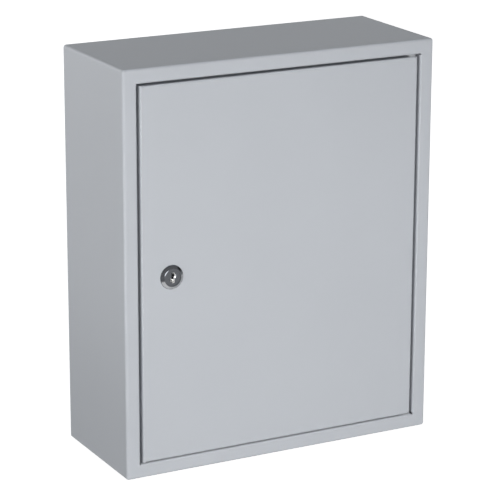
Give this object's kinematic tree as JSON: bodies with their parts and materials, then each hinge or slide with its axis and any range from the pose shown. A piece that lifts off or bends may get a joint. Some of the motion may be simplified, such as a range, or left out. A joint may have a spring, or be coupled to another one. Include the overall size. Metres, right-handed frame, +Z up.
{
  "type": "wall enclosure",
  "caption": "Folded steel wall enclosure with a flush inset door on hidden pivot hinges, a keyed cam lock, a mounting plate on studs and a bolted cable entry plate.",
  "frame": {"origin": "centre of the four wall holes, on the outer face of the back panel", "axes": "+Z up, +Y out of the back towards the wall, so the door faces -Y; +X towards the hinge side"},
  "size_m": [0.3, 0.1228, 0.36],
  "materials": {
    "grey_powder_coat": "semi-matte powder coat",
    "zinc_plated_steel": "bright zinc plate",
    "galvanised_sheet": "galvanised sheet",
    "chrome_lock": "polished chrome plate",
    "black_rubber": "moulded foam rubber"
  },
  "bodies": {
    "enclosure": {"body_shell": "grey_powder_coat", "back_panel": "grey_powder_coat", "door_stops": "grey_powder_coat", "hinge_pin_top": "zinc_plated_steel", "hinge_pin_bottom": "zinc_plated_steel", "hinge_spacer_top": "grey_powder_coat", "hinge_spacer_bottom": "grey_powder_coat", "plate_studs": "zinc_plated_steel", "plate_spacers": "zinc_plated_steel", "mounting_plate": "galvanised_sheet", "plate_washers": "zinc_plated_steel", "plate_nuts": "zinc_plated_steel", "gland_gasket": "black_rubber", "gland_plate": "grey_powder_coat", "gland_studs": "zinc_plated_steel", "gland_washers": "zinc_plated_steel", "gland_nuts": "zinc_plated_steel", "body_earth_stud": "zinc_plated_steel"},
    "door": {"door_panel": "grey_powder_coat", "door_earth_stud": "zinc_plated_steel", "lock_housing": "chrome_lock", "lock_nut": "zinc_plated_steel"},
    "lock_plug": {"lock_plug": "chrome_lock", "lock_cam": "zinc_plated_steel", "cam_washer": "zinc_plated_steel", "cam_screw": "zinc_plated_steel"}
  },
  "joints": [
    {"name": "door_hinge", "type": "hinge", "parent": "enclosure", "child": "door", "pos_m": [0.1301, -0.115, 0], "axis": [0, 0, 1], "range_deg": [0, 110]},
    {"name": "lock_turn", "type": "hinge", "parent": "door", "child": "lock_plug", "pos_m": [-0.1062, -0.12, -0.0027], "axis": [0, 1, 0], "range_deg": [0, 90]}
  ]
}
